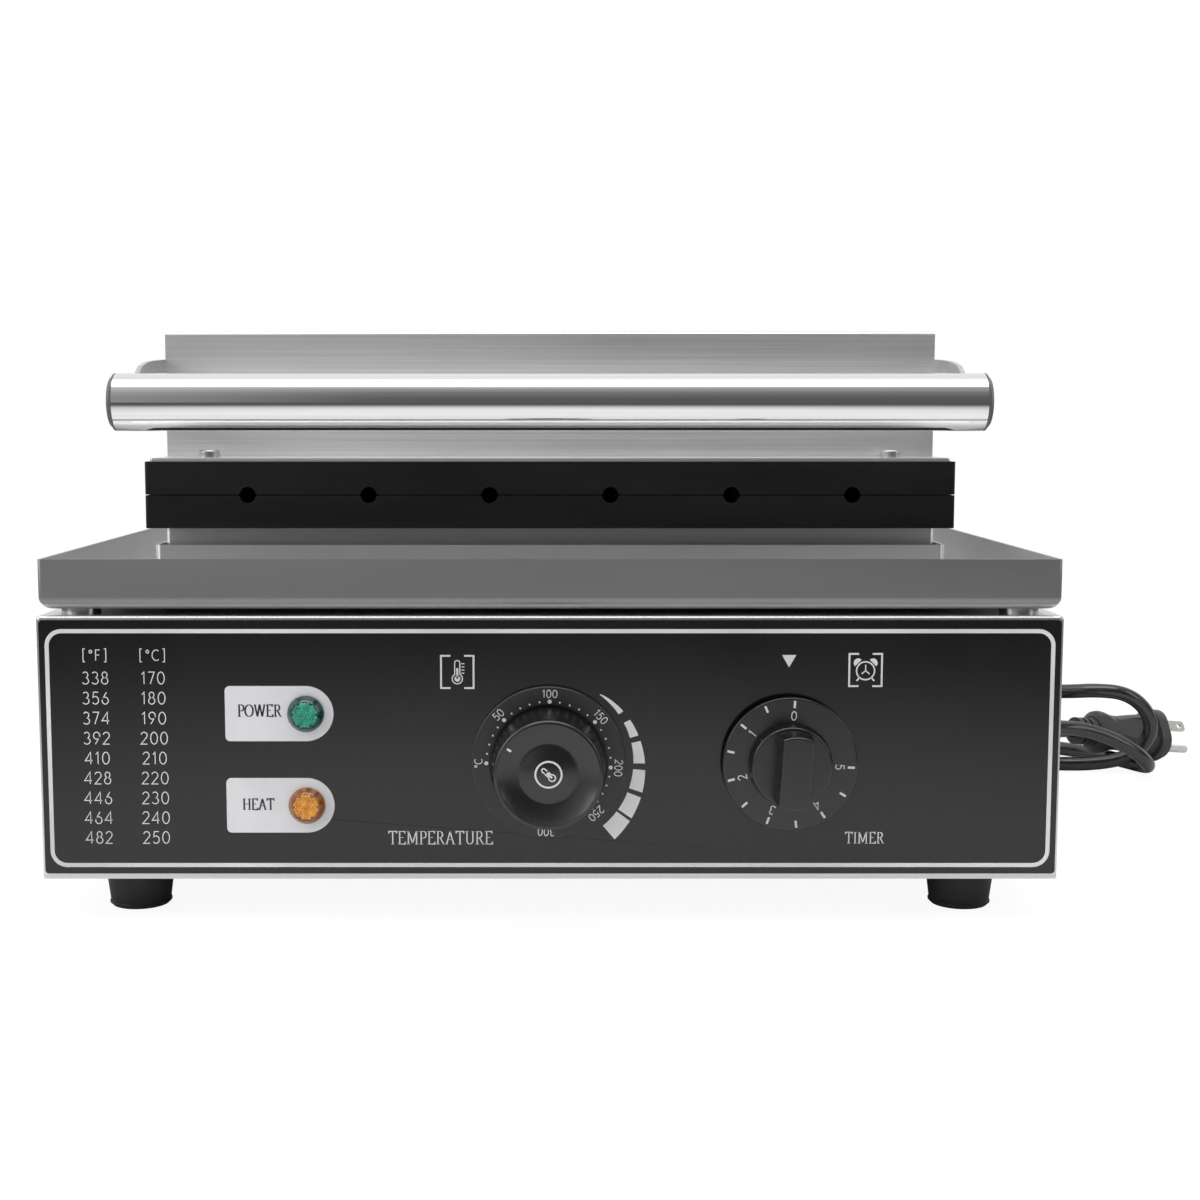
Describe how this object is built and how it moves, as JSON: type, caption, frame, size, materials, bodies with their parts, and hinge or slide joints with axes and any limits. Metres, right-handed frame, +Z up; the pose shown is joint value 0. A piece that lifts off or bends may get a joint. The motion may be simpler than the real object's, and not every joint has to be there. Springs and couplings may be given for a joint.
{
  "type": "corn dog maker",
  "caption": "Countertop corn dog maker: stainless base with front dials and lamps, oil tray, two hinged stick-hole moulds, chrome bar handle, coiled power cord with plug.",
  "frame": {"origin": "under the middle of the machine, on the surface that its feet stand on", "axes": "+X to the right seen from the front, +Y to the back, +Z up"},
  "size_m": [0.5988, 0.5051, 0.2461],
  "materials": {
    "stainless": "brushed sheet",
    "printed_panel": "matt printed film",
    "label": "satin",
    "green_lens": "clear, textured",
    "amber_lens": "clear, textured",
    "dial_black": "satin moulded",
    "mould_coating": "non-stick coated",
    "chrome": "polished",
    "end_cap": "satin",
    "foot_rubber": "moulded",
    "fastener_steel": "zinc plated",
    "copper_tube": "drawn",
    "control_plastic": "moulded",
    "insulation": "fibre board",
    "gland_plastic": "moulded",
    "cord_sheath": "glossy sheath",
    "plug_plastic": "moulded",
    "plug_metal": "nickel plated"
  },
  "bodies": {
    "base": {"base_housing": "stainless", "bottom_plate": "stainless", "cord_gland": "gland_plastic", "cord_gland_nut": "gland_plastic", "foot_bolts": "fastener_steel", "front_overlay": "printed_panel", "heat_lamp_lens": "amber_lens", "hinge_bracket_screws": "fastener_steel", "hinge_brackets": "stainless", "hinge_rod": "fastener_steel", "hinge_rod_rings": "fastener_steel", "lamp_bodies": "control_plastic", "lamp_label_plates": "label", "lamp_nuts": "control_plastic", "lower_clamp_plate": "fastener_steel", "lower_clamp_screws": "fastener_steel", "lower_heater_box": "stainless", "lower_heating_element": "fastener_steel", "lower_insulation": "insulation", "lower_mould": "mould_coating", "lower_mould_studs": "fastener_steel", "oil_tray": "stainless", "plug_blades": "plug_metal", "plug_body": "plug_plastic", "plug_ground_pin": "plug_metal", "power_cord_coil": "cord_sheath", "power_cord_lead": "cord_sheath", "power_cord_loops": "cord_sheath", "power_lamp_lens": "green_lens", "rear_panel": "stainless", "rear_panel_screws": "fastener_steel", "rubber_feet": "foot_rubber", "sensing_tube": "copper_tube", "temperature_dial_ring": "dial_black", "terminal_block": "control_plastic", "thermostat_body": "control_plastic", "thermostat_screws": "fastener_steel", "timer_body": "control_plastic", "timer_screws": "fastener_steel", "tray_screws": "fastener_steel", "tray_spacers": "fastener_steel"},
    "temperature_knob": {"temperature_knob": "dial_black", "thermostat_shaft": "fastener_steel"},
    "timer_knob": {"timer_knob": "dial_black", "timer_shaft": "fastener_steel"},
    "lid": {"upper_mould": "mould_coating", "upper_heater_housing": "stainless", "upper_heating_element": "fastener_steel", "upper_clamp_plate": "fastener_steel", "upper_clamp_screws": "fastener_steel", "upper_insulation": "insulation", "flange_screws": "fastener_steel", "left_handle_arm": "stainless", "right_handle_arm": "stainless", "handle_arm_screws": "fastener_steel", "handle_tube": "chrome", "handle_end_caps": "end_cap", "hinge_leaves": "stainless", "hinge_leaf_screws": "fastener_steel"}
  },
  "joints": [
    {"name": "lid_hinge", "type": "hinge", "parent": "base", "child": "lid", "pos_m": [0, 0.1095, 0.181], "axis": [-1, 0, 0], "range_deg": [0, 95]},
    {"name": "temperature_knob_turn", "type": "hinge", "parent": "base", "child": "temperature_knob", "pos_m": [-0.0006, -0.1765, 0.0668], "axis": [0, 1, 0], "range_deg": [-33, 239]},
    {"name": "timer_knob_turn", "type": "hinge", "parent": "base", "child": "timer_knob", "pos_m": [0.098, -0.1765, 0.0668], "axis": [0, 1, 0], "range_deg": [0, 270], "stiffness_Nm_per_rad": 0.005}
  ]
}
